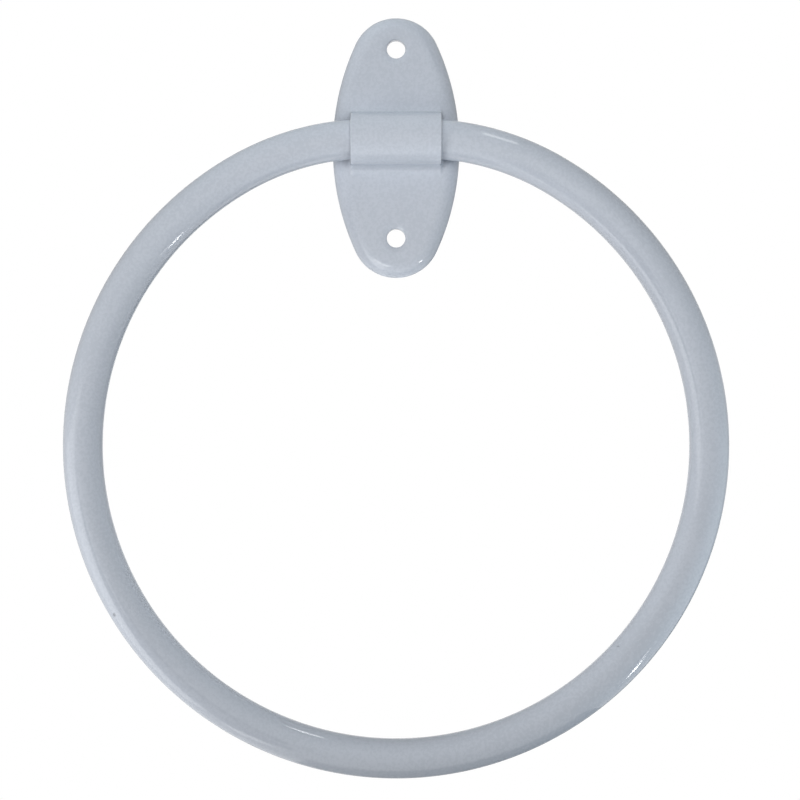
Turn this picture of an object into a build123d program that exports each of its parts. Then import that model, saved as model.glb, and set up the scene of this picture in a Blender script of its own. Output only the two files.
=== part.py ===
from build123d import *
from math import asin, degrees, radians, sin, sqrt
import os

# Towel ring: a steel tube bent into a ring, clamped by a half-round strap to an oval plate
# that screws to the wall. The three pieces are enamelled together in one colour.
# Lengths are in millimetres and angles in degrees.
# Each piece is drawn as it lies on the wall, with x to the right, y up and z out into the room.
# The origin is on the wall, midway between the two screw holes.

# Ring
tube_d = 12.0
tube_wall = 1.0
ring_mean_r = 95.0      # radius of the tube's centreline over the round part
round_from_top = 30.0   # the round part starts at this angle from the top, on both sides
top_r = 136.0           # radius of the flatter run that passes through the strap
top_past_strap = 4.5    # that run goes on past each side of the strap by this much
butt_gap = 0.4          # between the two ends of the tube, under the middle of the strap

# Strap
strap_width = 27.5
strap_sheet = 1.5
strap_edge_r = 0.4      # rounding along the edges of the strip
strap_rise = 0.8        # axis of the strap above the middle of the screw holes
tab_width = 16.0        # the shoulders beside each tab stand on the plate
tab_flat = 4.0          # straight length of a tab after its fold

# Wall plate
plate_sheet = 1.2
plate_end_r = 13.7      # radius of the oval at its top and bottom
side_land = 1.0         # flat left beside the strap, before the rim begins
rim_r = 5.0             # outer radius of the rim where it rolls back to the wall
hole_d = 5.7
hole_lip_r = 0.5        # rounding of each hole's front edge
lip_share = 0.5         # most of the sheet that this rounding may take
dish_width = 2.1        # ring of sheet drawn back around each hole
dish_depth = 0.45       # how far it is drawn back at the hole's edge
collar_wall = 0.8       # of the short tube that goes on from there to the wall
heel_r = 0.6            # rounding where this tube leaves the back of the sheet
hole_pitch = 58.0
land_above = 0.3        # flat left between the upper hole's dish and the rim
land_below = 2.3        # flat left between the lower hole's dish and the rim

# Clearances
paint_gap = 0.1         # tube to plate, and tube to strap
slot_gap = 0.15         # all round a tab in its slot, and between its fold and the plate
tab_wall_gap = 0.65     # from a folded tab to the wall
collar_gap = 0.1        # from the end of a collar to the wall

# Sizes that follow from these
tube_r = tube_d / 2
plate_depth = plate_sheet + slot_gap + strap_sheet + tab_wall_gap
rim_cut = max(rim_r - plate_depth, 0)   # height of the roll that the wall cuts off
rim_width = sqrt(rim_r**2 - rim_cut**2)
dish_r = hole_d / 2 + dish_width
plate_top = hole_pitch / 2 + dish_r + land_above + rim_width
plate_bottom = hole_pitch / 2 + dish_r + land_below + rim_width
plate_length = plate_top + plate_bottom
plate_width = strap_width + 2 * (side_land + rim_width)
tube_axis_z = plate_depth + paint_gap + tube_r
tube_sag = top_r - sqrt(top_r**2 - (strap_width / 2) ** 2)
strap_in_r = tube_r + tube_sag / 2 + paint_gap
strap_mid_r = strap_in_r + strap_sheet / 2
fold_r = 3 * slot_gap   # small enough for the fold to pass the edge of its slot
hole_lip = min(hole_lip_r, lip_share * plate_sheet)
cut_length = 4 * plate_depth   # of a cutter that goes right through the plate


def oval(width, length, end_r):
    """Face bounded by two end arcs and two side arcs that meet tangentially."""
    half_w = width / 2
    half_l = length / 2
    end_y = half_l - end_r
    side_r = (half_w**2 + end_y**2 - end_r**2) / (2 * (half_w - end_r))
    meet_x = end_r * (side_r - half_w) / (side_r - end_r)
    meet_y = end_y + end_r * end_y / (side_r - end_r)
    return make_face(
        [
            ThreePointArc((meet_x, meet_y), (0, half_l), (-meet_x, meet_y)),
            ThreePointArc((-meet_x, meet_y), (-half_w, 0), (-meet_x, -meet_y)),
            ThreePointArc((-meet_x, -meet_y), (0, -half_l), (meet_x, -meet_y)),
            ThreePointArc((meet_x, -meet_y), (half_w, 0), (meet_x, meet_y)),
        ]
    )


def rolled_block(width, length, end_r, front, edge_r):
    """Oval block with a rounded front edge, cut off flat at the wall."""
    below_wall = max(front, edge_r)
    block = Pos(0, 0, -below_wall) * extrude(oval(width, length, end_r), front + below_wall)
    front_edges = block.faces().sort_by(Axis.Z)[-1].edges()
    return split(fillet(front_edges, edge_r), Plane.XY)


def make_collar():
    """Ring of sheet around a screw hole: drawn back from the flat front, then straight on to the wall."""
    hole_r = hole_d / 2
    collar_r = hole_r + collar_wall
    draw_r = (dish_width**2 + dish_depth**2) / (2 * dish_depth)
    back_r = draw_r - plate_sheet
    sheet_back = plate_depth - plate_sheet
    lip = (hole_r, plate_depth - dish_depth)
    heel = (collar_r, plate_depth - draw_r + sqrt(back_r**2 - (dish_r - collar_r) ** 2))
    section = make_face(
        [
            TangentArc((dish_r, plate_depth), lip, tangent=(-1, 0)),
            Polyline(lip, (hole_r, collar_gap), (collar_r, collar_gap), heel),
            TangentArc((dish_r, sheet_back), heel, tangent=(-1, 0)),
            Line((dish_r, sheet_back), (dish_r, plate_depth)),
        ]
    )
    section = fillet(section.vertices().sort_by_distance(lip)[0], hole_lip)
    section = fillet(section.vertices().sort_by_distance(heel)[0], heel_r)
    return revolve(Plane.XZ * section, Axis.Z)


def make_wall_plate():
    """Pressed oval sheet, hollow behind, with two screw holes and two slots for the tabs."""
    # The wall cuts the roll before it stands upright, so the whole roll is a little larger.
    grow = rim_r - rim_width
    shrink = plate_sheet - grow
    outside = rolled_block(
        plate_width + 2 * grow, plate_length + 2 * grow, plate_end_r + grow, plate_depth, rim_r
    )
    inside = rolled_block(
        plate_width - 2 * shrink,
        plate_length - 2 * shrink,
        plate_end_r - shrink,
        plate_depth - plate_sheet,
        rim_r - plate_sheet,
    )
    plate = Pos(0, (plate_top - plate_bottom) / 2, 0) * (outside - inside)
    for side in (1, -1):
        hole_place = Pos(0, side * hole_pitch / 2, 0)
        plate -= hole_place * Cylinder(dish_r, cut_length)
        plate += hole_place * make_collar()
        plate -= Pos(0, strap_rise + side * strap_mid_r, 0) * Box(
            tab_width + 2 * slot_gap, strap_sheet + 2 * slot_gap, cut_length
        )
    return plate


def make_tab(side):
    """Tongue at the foot of one leg, through its slot and folded flat behind the plate."""
    leg_y = strap_rise + side * strap_mid_r
    fold_z = plate_depth - plate_sheet - slot_gap - strap_sheet / 2
    bend_r = fold_r + strap_sheet / 2
    end_y = leg_y + side * (bend_r + tab_flat)
    line = FilletPolyline(
        (0, leg_y, plate_depth), (0, leg_y, fold_z), (0, end_y, fold_z), radius=bend_r
    )
    section = Plane(line @ 0, x_dir=(1, 0, 0), z_dir=line % 0) * Rectangle(tab_width, strap_sheet)
    return sweep(section, line)


def make_strap():
    """Strip bent over the tube, with both legs standing on the plate."""
    low_y = strap_rise - strap_mid_r
    high_y = strap_rise + strap_mid_r
    crown = (0, strap_rise, tube_axis_z + strap_mid_r)
    line = Wire(
        [
            Line((0, low_y, plate_depth), (0, low_y, tube_axis_z)),
            ThreePointArc((0, low_y, tube_axis_z), crown, (0, high_y, tube_axis_z)),
            Line((0, high_y, tube_axis_z), (0, high_y, plate_depth)),
        ]
    )
    section = Plane(line @ 0, x_dir=(1, 0, 0), z_dir=line % 0) * RectangleRounded(
        strap_width, strap_sheet, strap_edge_r
    )
    return sweep(section, line) + make_tab(1) + make_tab(-1)


def make_ring():
    """Tube bent round, with a flatter top run joined to the round by two shoulder arcs."""
    top_half = strap_width / 2 + top_past_strap
    sin_round = sin(radians(round_from_top))
    sin_top = top_half / top_r
    shoulder_r = (ring_mean_r * sin_round - top_half) / (sin_round - sin_top)
    top_turn = degrees(asin(sin_top) - asin(butt_gap / 2 / top_r))
    shoulder_turn = round_from_top - degrees(asin(sin_top))
    bends = [
        (top_r, top_turn),
        (shoulder_r, shoulder_turn),
        (ring_mean_r, 360 - 2 * round_from_top),
        (shoulder_r, shoulder_turn),
        (top_r, top_turn),
    ]
    butt_drop = top_r - sqrt(top_r**2 - (butt_gap / 2) ** 2)
    point = Vector(butt_gap / 2, strap_rise + tube_sag / 2 - butt_drop)
    heading = Vector(sqrt(top_r**2 - (butt_gap / 2) ** 2), -butt_gap / 2)
    arcs = []
    for radius, turn in bends:
        arc = JernArc(point, heading, radius, -turn)
        arcs.append(arc)
        point = arc @ 1
        heading = arc % 1
    line = Wire(arcs)
    section = Plane(line @ 0, z_dir=line % 0) * (Circle(tube_r) - Circle(tube_r - tube_wall))
    return Pos(0, 0, tube_axis_z) * sweep(section, line)


pieces = {
    "wall_plate": make_wall_plate(),
    "strap": make_strap(),
    "ring": make_ring(),
}
os.makedirs("parts", exist_ok=True)
for name, piece in pieces.items():
    # Stood upright: x stays to the right, y becomes Z up, and z out into the room becomes -Y.
    export_step(Plane.XZ * piece, f"parts/{name}.step")
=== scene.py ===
# %% [markdown]
# A towel ring, enamelled in one pale grey
# The real thing is three pieces of steel: a pressed oval plate for the wall, a strip bent over a
# tube, and the tube itself, bent round. All three carry one coat of gloss enamel. This lesson
# dresses the CAD model with smooth surfaces worked out with numpy, gives them one enamel, and
# lights them like a small studio.

# %% Load the frame
import bmesh
import bpy
import numpy as np
from mathutils import Matrix, Vector
from mathutils.geometry import delaunay_2d_cdt


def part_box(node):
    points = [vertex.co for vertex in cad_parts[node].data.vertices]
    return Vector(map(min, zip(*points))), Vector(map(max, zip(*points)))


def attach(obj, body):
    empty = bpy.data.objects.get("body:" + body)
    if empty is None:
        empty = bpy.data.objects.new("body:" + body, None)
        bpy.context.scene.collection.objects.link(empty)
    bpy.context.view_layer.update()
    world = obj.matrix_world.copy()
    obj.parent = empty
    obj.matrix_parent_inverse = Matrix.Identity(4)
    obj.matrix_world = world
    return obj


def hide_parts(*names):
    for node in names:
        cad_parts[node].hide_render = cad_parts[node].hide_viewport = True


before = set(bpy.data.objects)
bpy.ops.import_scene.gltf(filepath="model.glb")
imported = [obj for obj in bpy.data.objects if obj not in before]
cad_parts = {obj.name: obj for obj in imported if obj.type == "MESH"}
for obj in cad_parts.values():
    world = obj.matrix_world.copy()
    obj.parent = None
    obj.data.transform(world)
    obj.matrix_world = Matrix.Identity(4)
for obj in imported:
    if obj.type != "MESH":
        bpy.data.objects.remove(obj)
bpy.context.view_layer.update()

mm = 0.001

# %% [markdown]
# Sizes from the frame
# A piece that stands for a CAD node has to lie exactly where the node lies, so the main sizes are
# read off the nodes' boxes. Only what a box can't tell, such as the thickness of the sheet, is
# written down here again.

# %% Read the main sizes off the nodes
ring_low, ring_high = np.array(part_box("ring"))
strap_low, strap_high = np.array(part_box("strap"))
plate_low, plate_high = np.array(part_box("wall_plate"))

tube_r = 6 * mm
paint_gap = 0.1 * mm                            # between the tube and the plate
plate_depth = -plate_low[1]
tube_y = -(plate_depth + paint_gap + tube_r)    # plane of the tube's centreline
ring_r = ring_high[0] - tube_r
ring_z = ring_low[2] + tube_r + ring_r          # centre of the round part
strap_width = strap_high[0] - strap_low[0]
strap_z = (strap_high[2] + strap_low[2]) / 2    # height of the strap's axis
print(f"tube {2 * tube_r / mm:.2f} mm, bent to a mean radius of {ring_r / mm:.2f} mm")

# %% [markdown]
# One line for every bend
# Tube, strip and outline of the plate are all made of straight runs and arcs that follow each other
# without a kink. A curve object could hold each of them, but a formula gives the direction at every
# point as well, and a profile needs that direction to stand square to its line.

# %% Points and headings along runs and arcs
def bent_line(start, heading, runs, step, turn_step=np.radians(4)):
    """Points and headings in a plane along runs of (length, turn), the turn in radians, left positive.

    After a distance s along a run the heading has changed by b = turn * s / length. The chord from
    the start of the run is then s * sin(b/2) / (b/2) long and points along heading + b/2. A straight
    run has a turn of 0.
    """
    points = [np.array([start], float)]
    headings = [np.array([heading], float)]
    for length, turn in runs:
        count = int(np.ceil(max(length / step, abs(turn) / turn_step, 1)))
        s = np.linspace(0, length, count + 1)[1:]
        b = turn * s / length
        chord = s * np.sinc(b / (2 * np.pi))
        way = np.stack([np.cos(heading + b / 2), np.sin(heading + b / 2)], axis=-1)
        points.append(points[-1][-1] + chord[:, None] * way)
        headings.append(heading + b)
        heading = heading + turn
    return np.concatenate(points), np.concatenate(headings)


def left_of(headings):
    """Unit vectors a quarter turn to the left of each heading."""
    return np.stack([-np.sin(headings), np.cos(headings)], axis=-1)


# %% [markdown]
# From a grid of points to a mesh
# Each surface is a grid: one direction runs along the piece, the other round its section. Four
# neighbours make a quad, and a grid that closes on itself wraps round to its first row or column.
# Patches that meet are put in one mesh and their shared edges are merged, so the finished piece is
# one closed skin.

# %% Quads of a grid, and patches joined to a piece
merge_distance = 0.0005 * mm


def grid_quads(rows, columns, wrap_rows=False, wrap_columns=False):
    """Corner numbers of the quads between neighbouring grid points, row by row."""
    index = np.arange(rows * columns).reshape(rows, columns)
    if wrap_rows:
        index = np.vstack([index, index[:1]])
    if wrap_columns:
        index = np.hstack([index, index[:, :1]])
    corners = [index[:-1, :-1], index[1:, :-1], index[1:, 1:], index[:-1, 1:]]
    return np.stack(corners, axis=-1).reshape(-1, 4)


def patch(grid, **wrap):
    """Points and quads of a grid of shape (rows, columns, 3)."""
    return grid.reshape(-1, 3), grid_quads(*grid.shape[:2], **wrap)


def make_piece(name, patches, sharp_angle=np.radians(35)):
    """Mesh object of the joined patches, with shared points merged and all faces turned outwards."""
    points = np.concatenate([p for p, _ in patches])
    starts = np.cumsum([0] + [len(p) for p, _ in patches[:-1]])
    faces = [face for start, (_, f) in zip(starts, patches) for face in (f + start).tolist()]
    mesh = bpy.data.meshes.new(name)
    mesh.from_pydata(points.tolist(), [], faces)
    work = bmesh.new()
    work.from_mesh(mesh)
    bmesh.ops.remove_doubles(work, verts=work.verts, dist=merge_distance)
    bmesh.ops.recalc_face_normals(work, faces=work.faces)
    open_edges = sum(not edge.is_manifold for edge in work.edges)
    work.to_mesh(mesh)
    work.free()
    mesh.shade_smooth()
    mesh.set_sharp_from_angle(angle=sharp_angle)
    piece = bpy.data.objects.new(name, mesh)
    bpy.context.scene.collection.objects.link(piece)
    print(f"{name}: {len(mesh.polygons)} faces, {open_edges} open edges")
    return piece


# %% [markdown]
# The ring
# The ring is a length of tube bent in a plane. It is round over most of its way and a little
# flatter at the top, where it passes through the strap, and its two ends butt there, out of sight.
# A torus would miss the flatter top, so a circle is carried along five arcs. The grid goes out
# along the outside of the tube and back along its bore, which closes the ends by itself.

# %% Lay out the ring's arcs
top_r = 136 * mm                    # of the flatter run at the top
top_past_strap = 4.5 * mm           # that run goes on past each side of the strap
round_from_top = np.radians(30)     # where the round part starts
butt_gap = 0.4 * mm

half_run = strap_width / 2 + top_past_strap
top_turn = np.arcsin(half_run / top_r)
shoulder_turn = round_from_top - top_turn
sin_round = np.sin(round_from_top)
shoulder_r = (ring_r * sin_round - half_run) / (sin_round - np.sin(top_turn))
butt_turn = np.arcsin(butt_gap / 2 / top_r)
ring_arcs = [
    (top_r, top_turn - butt_turn),
    (shoulder_r, shoulder_turn),
    (ring_r, 2 * np.pi - 2 * round_from_top),
    (shoulder_r, shoulder_turn),
    (top_r, top_turn - butt_turn),
]
crown_z = ring_high[2] - tube_r
ring_start = (butt_gap / 2, crown_z - top_r * (1 - np.cos(butt_turn)))
print(f"tube's length {sum(arc_r * turn for arc_r, turn in ring_arcs) / mm:.1f} mm")

# %% Bend the tube
tube_wall = 1.0 * mm
around_tube = 72
skin_step = 0.7 * mm
bore_step = 5 * mm


def tube_rows(radius, step, around):
    """Circles of one radius, square to the ring's centreline.

    A point is centre + radius * (cos a * outward + sin a * forward).
    """
    runs = [(arc_r * turn, -turn) for arc_r, turn in ring_arcs]
    line, headings = bent_line(ring_start, -butt_turn, runs, step)
    outward = left_of(headings)
    a = np.linspace(0, 2 * np.pi, around, endpoint=False)
    plan = line[:, None, :] + radius * np.cos(a)[None, :, None] * outward[:, None, :]
    y = np.broadcast_to(tube_y - radius * np.sin(a), plan.shape[:2])
    return np.stack([plan[..., 0], y, plan[..., 1]], axis=-1)


outside = tube_rows(tube_r, skin_step, around_tube)
bore = tube_rows(tube_r - tube_wall, bore_step, around_tube)
tube_grid = np.concatenate([outside, bore[::-1]])
ring = make_piece("bent_ring", [patch(tube_grid, wrap_rows=True, wrap_columns=True)])

# %% Dress the CAD node with the bent ring
def stand_for(piece, node):
    """The piece is shown in place of a CAD node and moves with the part."""
    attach(piece, "root")
    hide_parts(node)


stand_for(ring, "ring")

# %% [markdown]
# The strap
# The strap is a strip of sheet bent half-round over the tube. Its full width stands on the plate,
# and a narrower tab on each leg goes through the plate and is folded flat behind it. It could be
# cut from a cylinder, but it is easier as one rounded section carried along the middle of the
# sheet, from the end of one tab to the end of the other. The section's width steps where the
# shoulders stand on the plate.

# %% Section of the strip
quarter = np.pi / 2
corner_signs = np.array([[1, 1], [-1, 1], [-1, -1], [1, -1]])
corner_steps = 12


def rounded_section(width, height, edge_r):
    """Closed outline of a flat bar and its outward directions.

    Corner k is edge_r * (cos a, sin a) about its centre, with a going on from k quarter turns, and a
    straight side joins it to the next corner. Points crowd towards the ends of arcs and sides, so
    that the flats shade flat to their edges.
    """
    crowd = (1 - np.cos(np.linspace(0, np.pi, corner_steps + 1)[:-1])) / 2
    centres = corner_signs * (np.array([width, height]) / 2 - edge_r)
    a = quarter * (np.arange(4)[:, None] + crowd)
    side_a = quarter * (np.arange(4)[:, None] + np.ones(len(crowd)))
    arc_out = np.stack([np.cos(a), np.sin(a)], axis=-1)
    side_out = np.stack([np.cos(side_a), np.sin(side_a)], axis=-1)
    arcs = centres[:, None] + edge_r * arc_out
    side_start = centres[:, None] + edge_r * side_out[:, :1]
    side_end = np.roll(arcs[:, :1], -1, axis=0)
    sides = side_start + crowd[None, :, None] * (side_end - side_start)
    outline = np.stack([arcs, sides], axis=1).reshape(-1, 2)
    outward = np.stack([arc_out, side_out], axis=1).reshape(-1, 2)
    return outline, outward


strap_sheet = 1.5 * mm
strap_edge_r = 0.4 * mm     # rounding along the edges of the strip
tab_width = 16 * mm
tab_edge_r = 0.1 * mm
wide, wide_outward = rounded_section(strap_width, strap_sheet, strap_edge_r)
narrow, _ = rounded_section(tab_width, strap_sheet, tab_edge_r)
print(f"strip {strap_width / mm:.1f} mm wide, tabs {tab_width / mm:.1f} mm")

# %% Bend the strip
tab_flat = 4 * mm           # straight length of a tab after its fold
fold_r = 0.45 * mm          # inside of the fold
plate_sheet = 1.2 * mm
slot_gap = 0.15 * mm        # all round a tab in its slot, and between its fold and the plate
strap_step = 0.5 * mm

strap_mid_r = tube_y - strap_low[1] - strap_sheet / 2
fold_depth = plate_depth - plate_sheet - slot_gap - strap_sheet / 2
bend_r = fold_r + strap_sheet / 2
through = plate_depth - fold_depth - bend_r     # straight run of a tab in its slot
leg = -tube_y - plate_depth
leg_z = strap_z - strap_mid_r
tab_end = (leg_z - bend_r - tab_flat, fold_depth)


def carry(section, line, headings):
    """A section set square to a line of (height, depth) points.

    Its width lies along x, and its thickness points to the left of the heading.
    """
    place = line[:, None, :] + section[None, :, 1:] * left_of(headings)[:, None, :]
    x = np.broadcast_to(section[:, 0], place.shape[:2])
    return np.stack([x, -place[..., 1], place[..., 0]], axis=-1)


tab_runs = [(tab_flat, 0), (bend_r * quarter, quarter), (through, 0)]
over_runs = [(leg, 0), (np.pi * strap_mid_r, -np.pi), (leg, 0)]
low_line = bent_line(tab_end, 0, tab_runs, strap_step)
over_line = bent_line((leg_z, plate_depth), quarter, over_runs, strap_step)
high_line = bent_line(over_line[0][-1], -quarter, tab_runs[::-1], strap_step)
strip = np.concatenate([carry(narrow, *low_line), carry(wide, *over_line), carry(narrow, *high_line)])
end_cap = np.arange(len(narrow))[None, :]
strip_patches = [patch(strip, wrap_columns=True), (strip[0], end_cap), (strip[-1], end_cap)]
strap = make_piece("bent_strap", strip_patches)
stand_for(strap, "strap")

# %% [markdown]
# The wall plate
# The plate is pressed from sheet: an oval of four arcs, flat in front, with a rim that rolls back
# to the wall and hollow behind. Around each screw hole the sheet is drawn back, and goes on as a
# short collar to the wall, so that a screw can't crush the hollow. Three kinds of patch make the
# plate: the rim's section carried round the oval, a collar turned about each hole, and the two
# flats between them.

# %% Oval outline
plate_end_r = 13.7 * mm
oval_step = 0.5 * mm
half_w = plate_high[0]
end_z = (plate_high[2] - plate_low[2]) / 2 - plate_end_r
side_r = (half_w**2 + end_z**2 - plate_end_r**2) / (2 * (half_w - plate_end_r))
end_turn = np.arctan2(side_r - half_w, end_z)
side_turn = np.pi - 2 * end_turn
end_run = (plate_end_r * end_turn, -end_turn)
side_run = (side_r * side_turn, -side_turn)
oval_runs = [end_run, side_run, end_run, end_run, side_run, end_run]
oval, oval_heading = bent_line((0, plate_high[2]), 0, oval_runs, oval_step)
oval, oval_out = oval[:-1], left_of(oval_heading[:-1])
print(f"oval: sides of {side_r / mm:.1f} mm radius, ends of {plate_end_r / mm:.1f} mm, {len(oval)} points")

# %% Rim, rolled back to the wall
rim_r = 5 * mm
rim_cut = max(rim_r - plate_depth, 0)       # height of the roll that the wall cuts off
rim_width = np.sqrt(rim_r**2 - rim_cut**2)
gentle = np.linspace(0, 1, 25) ** 2         # small steps first, where the roll leaves the flat


def rolled(radius):
    """Section of one skin of the rim, as (inset, depth).

    It is an arc about the middle of the roll, from the flat to the wall.
    """
    a = np.arccos(rim_cut / radius) * gentle
    return np.stack([rim_width - radius * np.sin(a), plate_depth - rim_r + radius * np.cos(a)], axis=-1)


rim_section = np.concatenate([rolled(rim_r), rolled(rim_r - plate_sheet)[::-1]])
rim_plan = oval[:, None, :] - rim_section[None, :, :1] * oval_out[:, None, :]
rim_depth = np.broadcast_to(rim_section[:, 1], rim_plan.shape[:2])
rim = np.stack([rim_plan[..., 0], -rim_depth, rim_plan[..., 1]], axis=-1)
print(f"rim: {rim_width / mm:.2f} mm wide, {plate_depth / mm:.2f} mm deep")

# %% Section of a collar
hole_r = 2.85 * mm
dish_width = 2.1 * mm       # ring of sheet that is drawn back
dish_depth = 0.45 * mm      # how far it is drawn back at the hole
hole_lip_r = 0.5 * mm
collar_wall = 0.8 * mm      # of the short tube that goes on to the wall
collar_gap = 0.1 * mm       # from its end to the wall
heel_r = 0.6 * mm           # rounding where it leaves the back of the sheet
lip_points = 17
heel_points = 13

dish_r = hole_r + dish_width
collar_r = hole_r + collar_wall
draw_r = (dish_width**2 + dish_depth**2) / (2 * dish_depth)
back_r = draw_r - plate_sheet
dish_centre = (dish_r, plate_depth - draw_r)
lip_from = np.arcsin((dish_width - hole_lip_r) / (draw_r - hole_lip_r))
lip_centre = (hole_r + hole_lip_r, dish_centre[1] + (draw_r - hole_lip_r) * np.cos(lip_from))
heel_from = np.arcsin((dish_r - collar_r - heel_r) / (back_r - heel_r))
heel_centre = (collar_r + heel_r, dish_centre[1] + (back_r - heel_r) * np.cos(heel_from))


def arc_section(centre, radius, angles):
    """Points of an arc as (distance from the hole's axis, depth).

    A point is centre + radius * (-sin a, cos a), so the angle leans from the front to the axis.
    """
    return np.array(centre) + radius * np.stack([-np.sin(angles), np.cos(angles)], axis=-1)


collar_section = np.concatenate([
    arc_section(dish_centre, draw_r, lip_from * gentle),
    arc_section(lip_centre, hole_lip_r, np.linspace(lip_from, quarter, lip_points)[1:]),
    [(hole_r, collar_gap), (collar_r, collar_gap)],
    arc_section(heel_centre, heel_r, np.linspace(quarter, heel_from, heel_points)),
    arc_section(dish_centre, back_r, heel_from * gentle[::-1])[1:],
])
print(f"collar: {len(collar_section)} points, drawn back on a radius of {draw_r / mm:.2f} mm")

# %% Collars around the screw holes
hole_pitch = 58 * mm
around_hole = 96
hole_a = np.linspace(0, 2 * np.pi, around_hole, endpoint=False)
hole_heights = [side * hole_pitch / 2 for side in (1, -1)]


def collar(hole_z):
    """The collar's section turned about its hole: x = r cos a, height = hole + r sin a."""
    r = collar_section[None, :, 0]
    depth = np.broadcast_to(collar_section[:, 1], (around_hole, len(collar_section)))
    x = r * np.cos(hole_a)[:, None]
    z = hole_z + r * np.sin(hole_a)[:, None]
    return np.stack([x, -depth, z], axis=-1)


collars = [collar(hole_z) for hole_z in hole_heights]
print(f"holes of {2 * hole_r / mm:.1f} mm, {hole_pitch / mm:.0f} mm apart")

# %% Slots for the tabs
slot_half = np.array([tab_width, strap_sheet]) / 2 + slot_gap
slot_middles = [np.array([0, strap_z + side * strap_mid_r]) for side in (1, -1)]
slots = [middle + corner_signs * slot_half for middle in slot_middles]


def both_skins(loop):
    """A loop drawn on the plate, once on the front skin and once on the back skin."""
    skins = [np.full(len(loop), -depth) for depth in (plate_depth, plate_depth - plate_sheet)]
    return np.stack([np.stack([loop[:, 0], y, loop[:, 1]], axis=-1) for y in skins], axis=1)


slot_walls = [both_skins(slot) for slot in slots]
print(f"slots of {2 * slot_half[0] / mm:.1f} x {2 * slot_half[1] / mm:.1f} mm")

# %% Points of the flats
loops = [rim[:, 0, [0, 2]], *[c[:, 0, [0, 2]] for c in collars], *slots]
flat_step = 2 * mm
flat_reach = 24         # steps from the middle, to past the ends of the plate
keep_off = 0.8 * mm     # free points stay this far from every loop


def inside_holes(points):
    """True for points that lie in a screw hole's collar or in a slot."""
    hit = np.zeros(len(points), bool)
    for hole_z in hole_heights:
        hit |= np.linalg.norm(points - [0, hole_z], axis=1) < dish_r
    for middle in slot_middles:
        hit |= np.all(np.abs(points - middle) < slot_half, axis=1)
    return hit


def from_loop(points, loop):
    """Distance of each point from the nearest point of a loop."""
    return np.linalg.norm(points[:, None] - loop[None], axis=-1).min(axis=1)


ticks = np.arange(-flat_reach, flat_reach + 1) * flat_step
free = np.stack(np.meshgrid(ticks, ticks), axis=-1).reshape(-1, 2)
free[:, 0] += np.where(np.round(free[:, 1] / flat_step) % 2 == 0, 0, flat_step / 2)
past_edge = np.max(np.sum((free[:, None] - loops[0][None]) * oval_out[None], axis=-1), axis=1)
nearest = np.min([from_loop(free, loop) for loop in loops], axis=0)
free = free[(past_edge < 0) & (nearest > keep_off)]
free = free[~inside_holes(free)]
print(f"flats: {len(free)} free points between {len(loops)} loops")

# %% Flats between rim, collars and slots
drawn = np.concatenate([*loops, free])
starts = np.cumsum([0] + [len(loop) for loop in loops])
rails = [(s + k, s + (k + 1) % len(loop)) for s, loop in zip(starts, loops) for k in range(len(loop))]
keep_inside = 1         # only triangles inside the outermost loop
meet_distance = 1e-9
pins = [Vector(point) for point in drawn]
flat_points, _, flat_faces, *_ = delaunay_2d_cdt(pins, rails, [], keep_inside, meet_distance)
flat_points = np.array(flat_points)
flat_faces = np.array(flat_faces)
flat_faces = flat_faces[~inside_holes(flat_points[flat_faces].mean(axis=1))]
skins = both_skins(flat_points)
plate = make_piece(
    "pressed_plate",
    [
        patch(rim, wrap_rows=True),
        *[patch(c, wrap_rows=True) for c in collars],
        *[patch(wall, wrap_rows=True) for wall in slot_walls],
        (skins[:, 0], flat_faces),
        (skins[:, 1], flat_faces),
    ],
)
stand_for(plate, "wall_plate")

# %% [markdown]
# Braze and enamel in the corners
# Where the strap stands on the plate there is no sharp corner: braze has run in round each foot,
# and the wet enamel has drawn into what was left. It could be left to a bevel in the shader, but a
# real fillet catches the light from every side, so it is a hollow quarter circle carried round the
# foot. At the sides it is narrower, because the flat ends there.

# %% Fillets round the feet of the strap
fillet_r = 3.2 * mm
fillet_side = 1.0 * mm  # how far it reaches beside the strap, up to where the rim begins
sunk = 0.1 * mm         # the hidden corner of the fillet lies inside the steel
fillet_points = 17
hollow = np.linspace(0, quarter, fillet_points)
fillet_section = np.stack([fillet_r * (1 - np.cos(hollow)), fillet_r * (1 - np.sin(hollow))], axis=-1)
fillet_section = np.vstack([fillet_section, [-sunk, -sunk]])
fillet_reach = wide_outward * [fillet_side / fillet_r, 1]


def foot_fillet(foot_z):
    """Fillet round one foot, its section carried along the foot's outline.

    A point is outline + distance * reach, at a height above the plate, both taken from the section.
    """
    plan = wide[:, None, :] + fillet_section[None, :, :1] * fillet_reach[:, None, :]
    depth = np.broadcast_to(plate_depth + fillet_section[:, 1], plan.shape[:2])
    return np.stack([plan[..., 0], -depth, foot_z + plan[..., 1]], axis=-1)


feet = [foot_fillet(middle[1]) for middle in slot_middles]
fillets = make_piece("enamel_fillets", [patch(foot, wrap_rows=True, wrap_columns=True) for foot in feet])
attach(fillets, "root")

# %% [markdown]
# Gloss enamel
# Stoved enamel is a smooth coloured skin with a clear shine. Sprayed on in fine drops, it dries
# with a mottle of tone about a millimetre across and a very faint ripple, the orange peel, which
# roughens the edges of reflections. A plain colour would look like plastic, and a photograph of
# paint would not scale. So the mottle and the ripple are noises in Object coordinates, which keep
# their size in millimetres on every piece. The ring has a dark nick at its lower left and a short
# scratch at its lower right: each darkens the colour within a small ellipsoid.

# %% Helpers for shader nodes
worn_core = 0.5     # share of a worn spot's size that is fully worn


def add_node(tree, kind, **inputs):
    """A new shader node with its inputs set by name."""
    node = tree.nodes.new(kind)
    for name, value in inputs.items():
        node.inputs[name.replace("_", " ")].default_value = value
    return node


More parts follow.
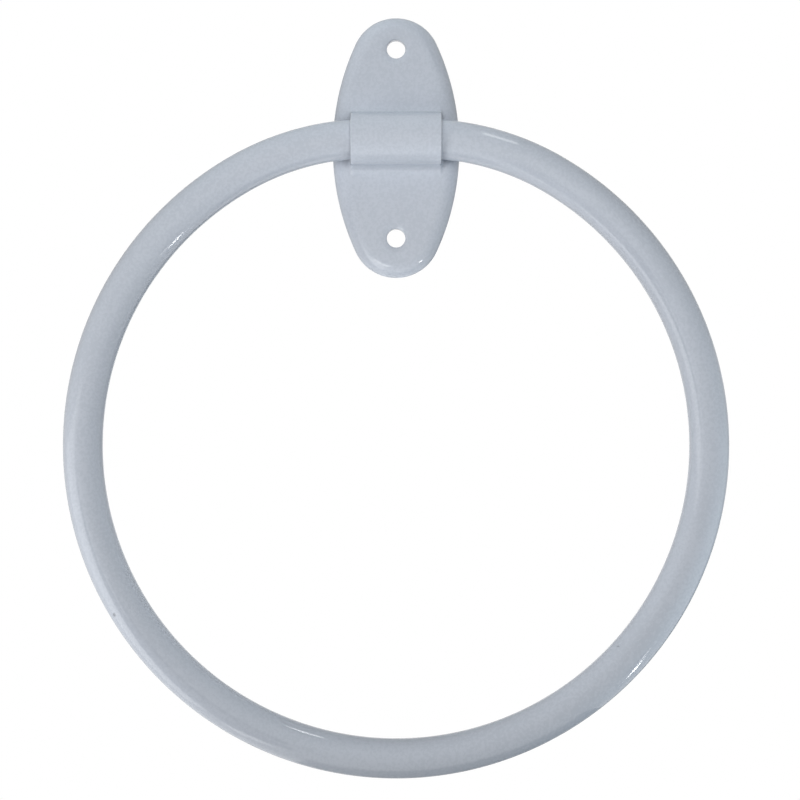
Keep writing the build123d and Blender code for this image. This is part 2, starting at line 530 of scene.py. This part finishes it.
def vector_step(tree, operation, first, second=None):
    """Output of one step of vector arithmetic on a linked vector and, if given, a fixed one."""
    step = tree.nodes.new("ShaderNodeVectorMath")
    step.operation = operation
    tree.links.new(first, step.inputs[0])
    if second is not None:
        step.inputs[1].default_value = second
    return step.outputs["Value" if operation in ("LENGTH", "DOT_PRODUCT") else "Vector"]


def worn_spot(tree, colour, place, middle, half_size, left):
    """The colour, times left in the core of an ellipsoid, fading to unchanged at the ellipsoid's skin."""
    offset = vector_step(tree, "SUBTRACT", place, middle)
    share = vector_step(tree, "LENGTH", vector_step(tree, "DIVIDE", offset, half_size))
    fade = add_node(tree, "ShaderNodeMapRange", From_Min=worn_core, To_Min=left)
    tree.links.new(share, fade.inputs["Value"])
    worn = tree.nodes.new("ShaderNodeVectorMath")
    worn.operation = "SCALE"
    tree.links.new(colour, worn.inputs[0])
    tree.links.new(fade.outputs["Result"], worn.inputs["Scale"])
    return worn.outputs["Vector"]


# %% Mix the enamel
deep_tone = (0.439, 0.480, 0.547, 1)
pale_tone = (0.469, 0.510, 0.578, 1)
deep_at = 0.44          # values of the noise where the two tones are reached
pale_at = 0.56
mottle_share = 0.72     # the rest is faint clouds
nick = (-84.8 * mm, tube_y - 4.5 * mm, ring_z - 51.0 * mm)
nick_half = (0.75 * mm, 0.75 * mm, 0.75 * mm)
scratch = (66.9 * mm, tube_y - 3.7 * mm, ring_z - 60.6 * mm)
scratch_half = (0.7 * mm, 1.0 * mm, 0.25 * mm)
peel_height = 0.008 * mm


def enamel_colour(tree, place):
    """Colour between the deep and the pale tone, darker at the two worn spots.

    The tone follows a mix of a fine mottle and faint clouds.
    """
    clouds = add_node(tree, "ShaderNodeTexNoise", Scale=45.0, Detail=3.0, Roughness=0.5)
    mottle = add_node(tree, "ShaderNodeTexNoise", Scale=1250.0, Detail=1.0, Roughness=0.5)
    blend = add_node(tree, "ShaderNodeMix", Factor=mottle_share)
    tones = tree.nodes.new("ShaderNodeValToRGB")
    tones.color_ramp.elements[0].position = deep_at
    tones.color_ramp.elements[0].color = deep_tone
    tones.color_ramp.elements[1].position = pale_at
    tones.color_ramp.elements[1].color = pale_tone
    tree.links.new(place, clouds.inputs["Vector"])
    tree.links.new(place, mottle.inputs["Vector"])
    tree.links.new(clouds.outputs["Fac"], blend.inputs["A"])
    tree.links.new(mottle.outputs["Fac"], blend.inputs["B"])
    tree.links.new(blend.outputs["Result"], tones.inputs["Fac"])
    nicked = worn_spot(tree, tones.outputs["Color"], place, nick, nick_half, left=0.55)
    return worn_spot(tree, nicked, place, scratch, scratch_half, left=0.7)


def enamel_finish():
    """Pale blue-grey gloss enamel with a fine mottle, an orange peel and two worn spots."""
    material = bpy.data.materials.new("enamel")
    material.use_nodes = True
    tree = material.node_tree
    paint = tree.nodes["Principled BSDF"]
    place = tree.nodes.new("ShaderNodeTexCoord").outputs["Object"]
    tree.links.new(enamel_colour(tree, place), paint.inputs["Base Color"])

    peel = add_node(tree, "ShaderNodeTexNoise", Scale=620.0, Detail=2.0, Roughness=0.45)
    bump = add_node(tree, "ShaderNodeBump", Strength=1.0, Distance=peel_height)
    tree.links.new(place, peel.inputs["Vector"])
    tree.links.new(peel.outputs["Fac"], bump.inputs["Height"])
    tree.links.new(bump.outputs["Normal"], paint.inputs["Normal"])

    paint.inputs["Roughness"].default_value = 0.07
    paint.inputs["IOR"].default_value = 1.5
    return material


enamel = enamel_finish()
for piece in (ring, strap, plate, fillets):
    piece.data.materials.append(enamel)
print("enamelled:", [piece.name for piece in (ring, strap, plate, fillets)])

# %% [markdown]
# Camera
# The photograph looks square at the ring from about 600 mm, so the far edge of the plate is a
# little smaller than the ring in front of it. The lens is worked out from the width that the
# picture covers at the ring.

# %% Place the camera
view_distance = 600 * mm
view_width = 242.7 * mm                 # covered by the picture at the ring
view_offset = (1.20 * mm, 13.69 * mm)   # picture's middle, right of and above the ring's centre
camera_data = bpy.data.cameras.new("camera")
camera_data.sensor_width = 36
camera_data.lens = camera_data.sensor_width * view_distance / view_width
camera = bpy.data.objects.new("camera", camera_data)
camera.location = (view_offset[0], tube_y - view_distance, ring_z + view_offset[1])
camera.rotation_euler = (quarter, 0, 0)
bpy.context.scene.collection.objects.link(camera)
bpy.context.scene.camera = camera
print(f"lens {camera_data.lens:.1f} mm")

# %% [markdown]
# Paper sweep
# A pale paper hangs behind the part and runs forward under it as the floor. It could be a plane and
# a wall, but a curve between them leaves no line in the picture. The part is on no wall here, so
# the floor is well below it and only a soft shadow reaches it. To the camera, and in reflections,
# the paper turns to plain white towards the back. It sends no light back to the part, because that
# would wash out the shading.

# %% Roll out the paper
floor_z = -1000 * mm
paper_half = 2.6        # metres, as on the whole stage: half the paper's width
paper_front = 2.6       # how far it runs towards the camera
paper_back = 1.7        # how far behind the wall it rises
paper_curve = 0.7       # radius between floor and back
paper_rise = 2.0        # how far it goes on up from there
paper_step = 0.2
paper_runs = [
    (paper_front + paper_back - paper_curve, 0),
    (paper_curve * quarter, quarter),
    (paper_rise, 0),
]
paper_line, _ = bent_line((-paper_front, floor_z), 0, paper_runs, paper_step)
paper_x = np.broadcast_to([-paper_half, paper_half], (len(paper_line), 2))
paper_y = np.broadcast_to(paper_line[:, :1], (len(paper_line), 2))
paper_z = np.broadcast_to(paper_line[:, 1:], (len(paper_line), 2))
paper = make_piece("paper_sweep", [patch(np.stack([paper_x, paper_y, paper_z], axis=-1))])

# %% Whiten the paper for the eye
white_from = 0.3    # distances behind the wall, between which the paper turns to plain white
white_to = 0.9


def white_ray(tree):
    """1 for camera, mirror and glass rays, 0 for the rays that light the part."""
    path = tree.nodes.new("ShaderNodeLightPath")
    seen = tree.nodes.new("ShaderNodeMath")
    seen.operation = "MAXIMUM"
    either = tree.nodes.new("ShaderNodeMath")
    either.operation = "MAXIMUM"
    tree.links.new(path.outputs["Is Camera Ray"], seen.inputs[0])
    tree.links.new(path.outputs["Is Glossy Ray"], seen.inputs[1])
    tree.links.new(seen.outputs[0], either.inputs[0])
    tree.links.new(path.outputs["Is Transmission Ray"], either.inputs[1])
    return either.outputs[0]


def paper_finish():
    """Matt white paper that turns to plain white, for the eye only, between the floor and the back."""
    material = bpy.data.materials.new("paper")
    material.use_nodes = True
    tree = material.node_tree
    matt = tree.nodes["Principled BSDF"]
    matt.inputs["Base Color"].default_value = (0.86, 0.86, 0.86, 1)
    matt.inputs["Roughness"].default_value = 0.9
    glow = add_node(tree, "ShaderNodeEmission", Strength=1.0)
    place = tree.nodes.new("ShaderNodeTexCoord")
    split = tree.nodes.new("ShaderNodeSeparateXYZ")
    fade = add_node(tree, "ShaderNodeMapRange", From_Min=white_from, From_Max=white_to)
    share = tree.nodes.new("ShaderNodeMath")
    share.operation = "MULTIPLY"
    mix = tree.nodes.new("ShaderNodeMixShader")
    tree.links.new(place.outputs["Object"], split.inputs["Vector"])
    tree.links.new(split.outputs["Y"], fade.inputs["Value"])
    tree.links.new(fade.outputs["Result"], share.inputs[0])
    tree.links.new(white_ray(tree), share.inputs[1])
    tree.links.new(share.outputs[0], mix.inputs["Fac"])
    tree.links.new(matt.outputs["BSDF"], mix.inputs[1])
    tree.links.new(glow.outputs["Emission"], mix.inputs[2])
    tree.links.new(mix.outputs["Shader"], tree.nodes["Material Output"].inputs["Surface"])
    return material


paper.data.materials.append(paper_finish())
paper.visible_diffuse = False   # it sends no light back to the part
print("paper: plain white from", white_to, "m behind the wall")

# %% [markdown]
# A dark card round the view
# In front of white, a glossy tube would lose its edges: seen flat along its surface, enamel mirrors
# whatever stands behind it. Photographers set up black cards just outside the picture, and the
# edges mirror those instead and stay drawn. Here one flat ring of card hangs behind the part,
# darkest at the lower right, where the edges in the photograph are darkest. Only mirror rays see
# it, so it takes no light away.

# %% Cut the dark card
card_y = 1.15                           # behind the wall
card_radii = np.array([0.42, 2.4])      # of its hole and of its outer edge
card_sides = 64
card_a = np.linspace(0, 2 * np.pi, card_sides, endpoint=False)[:, None]
card_x = np.cos(card_a) * card_radii
card_z = ring_z + np.sin(card_a) * card_radii
card_grid = np.stack([card_x, np.full(card_x.shape, card_y), card_z], axis=-1)
view_card = make_piece("dark_card", [patch(card_grid, wrap_rows=True)])

# %% Shade and hang the dark card
dark_clock = np.radians(300)    # towards the lower right
card_pale = 0.8
card_dark = 0.12
pale_up_to = 0.35               # cosines of the angle from the darkest side
dark_from = 0.85


def mirror_only(card, finish):
    """A card of the studio that no rays but mirror rays see, and that isn't sampled as a lamp."""
    card.visible_camera = False
    card.visible_diffuse = False
    card.visible_shadow = False
    finish.cycles.emission_sampling = "NONE"
    card.data.materials.append(finish)


def card_finish():
    """Grey card, darkest towards one clock angle: grey falls with the cosine of the angle from there."""
    material = bpy.data.materials.new("card")
    material.use_nodes = True
    tree = material.node_tree
    place = tree.nodes.new("ShaderNodeTexCoord")
    outward = vector_step(tree, "SUBTRACT", place.outputs["Object"], (0, card_y, ring_z))
    outward = vector_step(tree, "NORMALIZE", outward)
    towards = (np.cos(dark_clock), 0, np.sin(dark_clock))
    cosine = vector_step(tree, "DOT_PRODUCT", outward, towards)
    grey = add_node(
        tree,
        "ShaderNodeMapRange",
        From_Min=pale_up_to,
        From_Max=dark_from,
        To_Min=card_pale,
        To_Max=card_dark,
    )
    glow = tree.nodes.new("ShaderNodeEmission")
    tree.links.new(cosine, grey.inputs["Value"])
    tree.links.new(grey.outputs["Result"], glow.inputs["Strength"])
    tree.links.new(glow.outputs["Emission"], tree.nodes["Material Output"].inputs["Surface"])
    return material


mirror_only(view_card, card_finish())
print("dark card:", card_dark, "to", card_pale, "of white")

# %% [markdown]
# Studio light: the fills
# Gloss enamel shows a lamp twice: as soft shading in its colour, and as a mirrored streak in its
# shine. The photograph has soft shading from several sides, but only a few thin streaks, so the two
# are made apart. The fills are lamps that shade the colour and are kept out of the shine. Each is
# placed by two angles from the ring's centre, because an angle says which side of the tube it
# lights. The strap's own fill stands close below it and lights the plate and strap alone, because
# the ring would catch too much of it.

# %% Place a fill
aim = Vector((0, tube_y, ring_z))


def lamp_axes(clock, lean, spin=0):
    """Unit vectors from the ring's centre to a lamp, and along the lamp's deep side.

    The deep side lies as near to the camera's axis as it can, then spun by an angle about the first.
    """
    c, l, turn = np.radians([clock, lean, spin])
    away = Vector((np.sin(l) * np.cos(c), -np.cos(l), np.sin(l) * np.sin(c)))
    inward = Vector((0, 1, 0)) - away.y * away
    inward.normalize()
    return away, np.cos(turn) * inward + np.sin(turn) * away.cross(inward)


def soft_light(name, clock, lean, distance, deep, broad, watts, tint, on):
    """Rectangular area lamp at distance * (sin lean cos clock, -cos lean, sin lean sin clock).

    It faces the ring's centre. clock goes round the ring from its right side, and lean tips from the
    camera's side towards the back, in degrees. The lamp is deep along the camera's axis, as far as it
    faces the ring, and broad across it. It shades all pieces, or those of one collection, and doesn't
    show in their shine.
    """
    away, along = lamp_axes(clock, lean)
    data = bpy.data.lights.new(name, "AREA")
    data.shape = "RECTANGLE"
    data.size = deep
    data.size_y = broad
    data.energy = watts
    data.color = tint
    lamp = bpy.data.objects.new(name, data)
    lamp.location = aim + distance * away
    lamp.rotation_euler = Matrix((along, away.cross(along), away)).transposed().to_euler()
    lamp.visible_camera = False
    lamp.visible_glossy = False
    lamp.light_linking.receiver_collection = on
    bpy.context.scene.collection.objects.link(lamp)


def group(name, pieces):
    """Collection of the pieces that a lamp is meant for."""
    collection = bpy.data.collections.new(name)
    for piece in pieces:
        collection.objects.link(piece)
    return collection


# %% Hang the fills
plain = (1.0, 1.0, 1.0)
warm = (1.0, 0.965, 0.93)
cool = (0.92, 0.98, 1.0)
on_all = None
on_ring = group("on_ring", [ring])
on_plate = group("on_plate", [plate, strap, fillets])
# name, clock, lean, distance, deep, broad, watts, tint and the pieces that it lights
fills = [
    ("front_fill", 85, 19, 0.32, 0.12, 0.24, 0.52, plain, on_all),
    ("near_fill", 90, 25, 0.18, 0.08, 0.08, 0.03, warm, on_all),
    ("left_fill", 195, 54, 0.86, 0.40, 0.40, 2.8, warm, on_all),
    ("low_left_fill", 210, 82, 0.35, 0.16, 0.16, 0.52, plain, on_all),
    ("low_right_fill", 336, 82, 0.35, 0.16, 0.24, 0.66, cool, on_all),
    ("top_fill", 95, 82, 0.35, 0.16, 0.16, 0.35, cool, on_all),
    ("under_fill", 270, 117, 0.34, 0.16, 0.16, 0.45, plain, on_all),
    ("strap_fill", 270, 86, 0.20, 0.12, 0.12, 0.14, plain, on_plate),
    ("back_fill", 90, 179, 0.80, 0.60, 0.60, 4.0, plain, on_all),
]
for fill in fills:
    soft_light(*fill)
print("fills:", [fill[0] for fill in fills])

# %% [markdown]
# Light for the paper
# The fills are small and stand close to the part, so they hardly reach the floor. Stronger fills
# would bleach the enamel. So a broad sun lamp lights the paper alone, from above, and the part's
# soft shadow falls on it.

# %% Light the paper
paper_light = bpy.data.lights.new("paper_light", "SUN")
paper_light.energy = 2.9
paper_light.angle = np.radians(30)
paper_sun = bpy.data.objects.new("paper_light", paper_light)
paper_sun.light_linking.receiver_collection = group("on_paper", [paper])
bpy.context.scene.collection.objects.link(paper_sun)
print("paper light:", paper_light.energy, "W per square metre")

# %% [markdown]
# Studio light: the cards that are mirrored
# The streaks come from cards that only mirror rays see. Small strong lamps could draw them too, but
# leave specks beside them, and a card that isn't sampled as a lamp leaves none. The cards stand
# close, so the ring and the plate would mirror one in different places, and most are meant for one
# of the two. The veil hangs before the top strip and dims it for the near side of the ring. The
# flag below the ring is nearly black, and draws the ring's lower edge.

# %% Hang the cards that are mirrored
def mirrored_card(name, clock, lean, distance, deep, broad, glow, spin, on):
    """Flat card placed like a lamp, glow times as bright as white.

    A corner is its middle, plus or minus deep / 2 along one side and broad / 2 along the other.
    """
    away, along = lamp_axes(clock, lean, spin)
    sides = corner_signs * [deep / 2, broad / 2]
    card_corners = np.array(aim + distance * away) + sides @ np.array([along, away.cross(along)])
    mirrored = make_piece(name, [(card_corners, np.arange(4)[None, :])])
    finish = bpy.data.materials.new(name)
    finish.use_nodes = True
    tree = finish.node_tree
    light = add_node(tree, "ShaderNodeEmission", Strength=glow)
    tree.links.new(light.outputs["Emission"], tree.nodes["Material Output"].inputs["Surface"])
    mirror_only(mirrored, finish)
    mirrored.light_linking.receiver_collection = on


# name, clock, lean, distance, deep, broad, glow, spin and the pieces that mirror it
cards = [
    ("left_softbox", 206.5, 65, 0.38, 0.44, 0.40, 2.2, 0, on_ring),
    ("low_strip", 243.5, 78, 0.26, 0.075, 0.026, 2.5, -26, on_ring),
    ("top_strip", 71.8, 77, 0.205, 0.032, 0.022, 13.0, 0, on_ring),
    ("top_strip_veil", 71.8, 79.9, 0.152, 0.018, 0.018, 4.5, 0, on_ring),
    ("low_lamp", 315.9, 82, 0.80, 0.14, 0.038, 18.0, -9, on_ring),
    ("low_lamp_skirt", 318.7, 70, 0.80, 0.12, 0.030, 4.5, -9, on_ring),
    ("low_flag", 280, 97.5, 0.192, 0.15, 0.19, 0.03, 0, on_all),
    ("plate_softbox", 214, 55, 0.38, 0.22, 0.42, 3.0, 0, on_plate),
    ("plate_lamp", 317, 61, 0.80, 0.12, 0.09, 17.0, 0, on_plate),
    ("hole_softbox", 232, 30, 0.38, 0.11, 0.14, 5.0, 0, on_plate),
]
for studio_card in cards:
    mirrored_card(*studio_card)

# %% [markdown]
# The room
# Beyond the lamps and cards the room gives a dim, even light, so that no side of the part is black.
# The camera, mirrors and glass see it plain white, as they see the paper.

# %% Fill the room
room_light = (0.08, 0.08, 0.08, 1)
world = bpy.data.worlds.new("room")
bpy.context.scene.world = world
world.use_nodes = True
room = world.node_tree
dim = room.nodes["Background"]
dim.inputs["Color"].default_value = room_light
white = add_node(room, "ShaderNodeBackground", Strength=1.0)
white.inputs["Color"].default_value = (1, 1, 1, 1)
room_mix = room.nodes.new("ShaderNodeMixShader")
room.links.new(white_ray(room), room_mix.inputs["Fac"])
room.links.new(dim.outputs["Background"], room_mix.inputs[1])
room.links.new(white.outputs["Background"], room_mix.inputs[2])
room.links.new(room_mix.outputs["Shader"], room.nodes["World Output"].inputs["Surface"])
print("room light:", room_light[:3])

# %% [markdown]
# Plain colour
# The picture is shown as plain colour, without a film look.

# %% Show the picture in plain colour
bpy.context.scene.view_settings.view_transform = "Standard"
